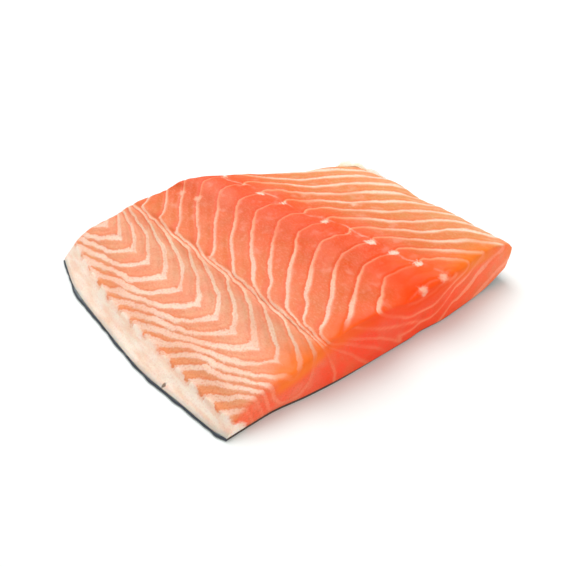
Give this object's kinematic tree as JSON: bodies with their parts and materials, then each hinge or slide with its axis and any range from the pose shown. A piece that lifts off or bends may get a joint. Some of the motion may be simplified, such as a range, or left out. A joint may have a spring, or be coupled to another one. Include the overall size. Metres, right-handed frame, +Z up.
{
  "type": "raw salmon fillet section",
  "caption": "Raw section of salmon fillet lying skin down, with zigzag lines of fat over its flesh, a pale belly rim and two slanting cuts.",
  "frame": {"origin": "on the table under the middle of the piece's bounding box", "axes": "+X from the belly edge to the back edge, +Y along the fish from the front cut to the rear cut, +Z up from the skin"},
  "size_m": [0.178, 0.1556, 0.0324],
  "materials": {
    "flesh": "moist orange muscle in flakes, parted by wavy pale lines of fat, with a cream rim along the belly",
    "skin": "wet scaled fish skin, blue-black with a silver-grey sheen"
  },
  "bodies": {
    "root": {"flesh": "flesh", "skin": "skin"}
  },
  "joints": []
}
